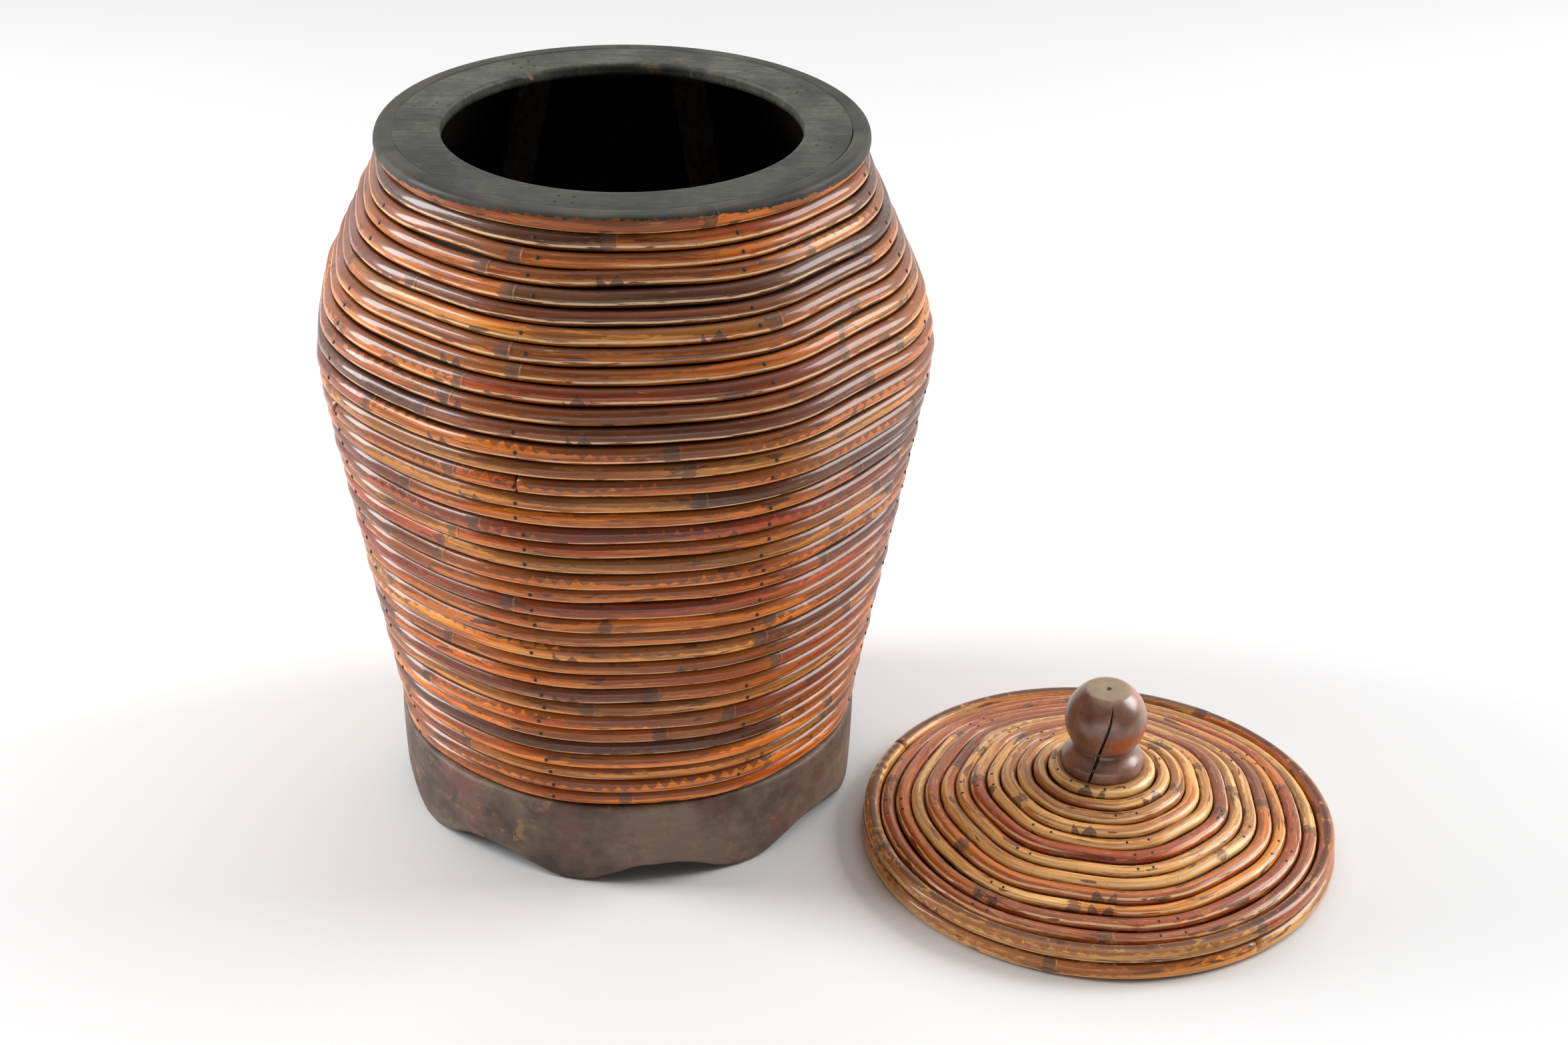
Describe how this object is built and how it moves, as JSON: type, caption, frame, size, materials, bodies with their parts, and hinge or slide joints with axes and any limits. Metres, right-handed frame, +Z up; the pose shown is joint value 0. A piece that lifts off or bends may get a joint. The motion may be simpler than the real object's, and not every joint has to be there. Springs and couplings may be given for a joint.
{
  "type": "cane-wound lidded jar",
  "caption": "Round-shouldered storage jar wound with rattan cane over bent laths, with a lift-off cane-wound lid and turned knob lying beside it.",
  "frame": {"origin": "centre of the jar's foot ring on the ground", "axes": "+Z up along the jar's axis, front faces -Y, the lid lies on the +X side at rest"},
  "size_m": [0.5788, 0.3814, 0.4],
  "materials": {
    "jar_cane": "glossy lacquered rattan with dark nodes",
    "rim_cane": "rattan, top painted black and worn",
    "lid_cane": "lacquered honey rattan with dark peel edges",
    "black_board": "matt black paint, worn and scratched",
    "lining": "dark stained thin sheet",
    "lath": "rough split wood",
    "plain_wood": "rough sawn, stained",
    "dark_skirt": "matt dark mottled lacquer",
    "dark_knob": "semi-gloss dark lacquer, worn",
    "nail": "dark blunt nail heads"
  },
  "bodies": {
    "jar": {"rim_board": "black_board", "rim_cane": "rim_cane", "jar_cane_01": "jar_cane", "jar_cane_02": "jar_cane", "jar_cane_03": "jar_cane", "jar_cane_04": "jar_cane", "jar_cane_05": "jar_cane", "jar_cane_06": "jar_cane", "jar_cane_07": "jar_cane", "jar_cane_08": "jar_cane", "jar_cane_09": "jar_cane", "jar_cane_10": "jar_cane", "jar_cane_11": "jar_cane", "jar_cane_12": "jar_cane", "lining_wall": "lining", "lining_shoulder": "lining", "jar_rib_1": "lath", "jar_rib_2": "lath", "jar_rib_3": "lath", "jar_rib_4": "lath", "jar_rib_5": "lath", "jar_rib_6": "lath", "jar_rib_7": "lath", "jar_rib_8": "lath", "base_board": "plain_wood", "base_skirt": "dark_skirt"},
    "knob_peg": {"knob_peg": "lath"},
    "lid": {"lid_board": "black_board", "lid_edge_canes": "lid_cane", "lid_cane_1": "lid_cane", "lid_cane_2": "lid_cane", "lid_cane_3": "lid_cane", "lid_cane_4": "lid_cane", "lid_lining": "lining", "lid_spoke_1": "lath", "lid_spoke_2": "lath", "lid_spoke_3": "lath", "lid_spoke_4": "lath", "lid_spoke_5": "lath", "lid_spoke_6": "lath", "lid_spoke_7": "lath", "lid_hub": "plain_wood", "knob": "dark_knob"}
  },
  "joints": [
    {"name": "lid_carry", "type": "hinge", "parent": "jar", "child": "knob_peg", "pos_m": [0.21648, -0.06004, 0.28347], "axis": [-0.2672, -0.9636, 0], "range_deg": [0, 225]},
    {"name": "lid_level", "type": "hinge", "parent": "knob_peg", "child": "lid", "pos_m": [0.27319, -0.07576, 0.02461], "axis": [-0.2672, -0.9636, 0], "range_deg": [-225, 0]}
  ],
  "couplings": [
    {"joint": "lid_level", "follows": "lid_carry", "ratio": -1}
  ]
}
